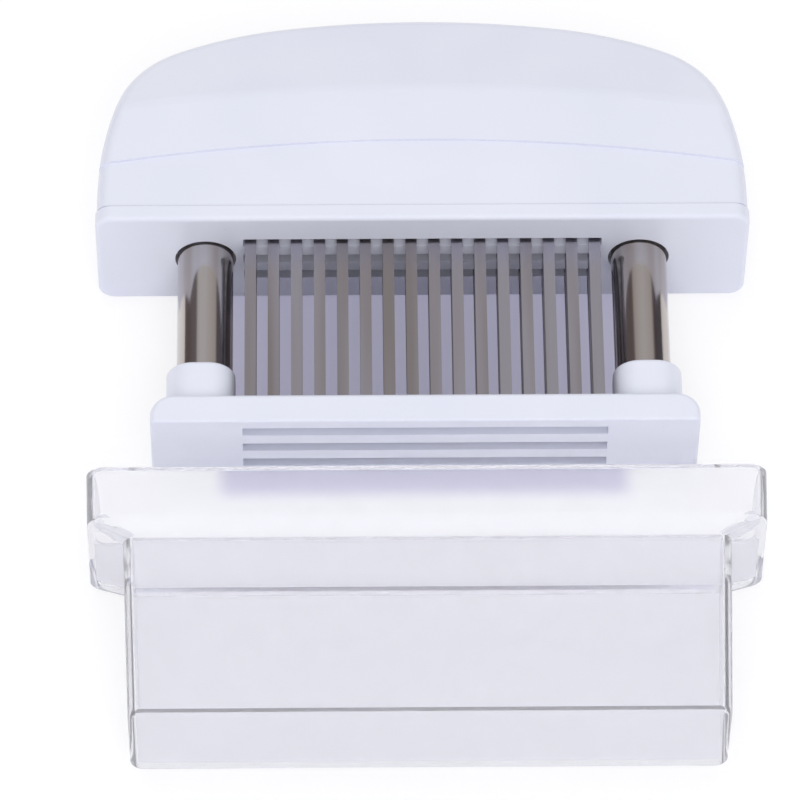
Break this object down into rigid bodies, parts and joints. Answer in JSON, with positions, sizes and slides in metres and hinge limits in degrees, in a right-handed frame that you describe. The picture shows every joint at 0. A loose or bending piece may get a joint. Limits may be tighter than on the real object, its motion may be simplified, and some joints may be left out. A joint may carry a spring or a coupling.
{
  "type": "blade meat tenderizer",
  "caption": "Palm-press meat tenderizer: three rows of flat blades hang from a crowned handle behind a slotted foot on sprung tubes, with a clear cover drawn off.",
  "frame": {"origin": "middle of the tool's outline on the surface that it lies on, back down", "axes": "+X across the handle to the right, +Y from the cover to the handle's crown along the blades, +Z out of the front face"},
  "size_m": [0.1112, 0.1384, 0.0234],
  "materials": {
    "moulded_white": "moulded ABS, satin white",
    "white_nylon": "natural nylon",
    "blade_steel": "stamped and ground stainless strip",
    "polished_tube": "drawn and polished stainless tube",
    "turned_steel": "turned steel",
    "spring_wire": "drawn spring wire",
    "clear_cover": "moulded clear styrene, polished"
  },
  "bodies": {
    "handle": {"handle_shell": "moulded_white", "handle_base": "moulded_white", "blade_retainer": "white_nylon", "blade_clamp": "white_nylon", "blade_01": "blade_steel", "blade_02": "blade_steel", "blade_03": "blade_steel", "blade_04": "blade_steel", "blade_05": "blade_steel", "blade_06": "blade_steel", "blade_07": "blade_steel", "blade_08": "blade_steel", "blade_09": "blade_steel", "blade_10": "blade_steel", "blade_11": "blade_steel", "blade_12": "blade_steel", "blade_13": "blade_steel", "blade_14": "blade_steel", "blade_15": "blade_steel", "blade_16": "blade_steel", "blade_17": "blade_steel", "blade_18": "blade_steel", "blade_19": "blade_steel", "blade_20": "blade_steel", "blade_21": "blade_steel", "blade_22": "blade_steel", "blade_23": "blade_steel", "blade_24": "blade_steel", "blade_25": "blade_steel", "blade_26": "blade_steel", "blade_27": "blade_steel", "blade_28": "blade_steel", "blade_29": "blade_steel", "blade_30": "blade_steel", "blade_31": "blade_steel", "blade_32": "blade_steel", "rear_blades": "blade_steel", "guide_bush_left": "white_nylon", "guide_bush_right": "white_nylon", "return_spring_left": "spring_wire", "return_spring_right": "spring_wire"},
    "guard": {"guard_foot": "moulded_white", "column_left": "polished_tube", "column_right": "polished_tube", "stop_collar_left": "turned_steel", "stop_collar_right": "turned_steel"},
    "cover": {"cover": "clear_cover"}
  },
  "joints": [
    {"name": "guard_slide", "type": "slide", "parent": "handle", "child": "guard", "axis": [0, 1, 0], "range_m": [0, 0.024], "stiffness_N_per_m": 300, "springref_m": -0.012, "deforming": ["return_spring_left", "return_spring_right"]},
    {"name": "cover_slide", "type": "slide", "parent": "handle", "child": "cover", "axis": [0, -1, 0], "range_m": [-0.0489, 0.03]}
  ]
}
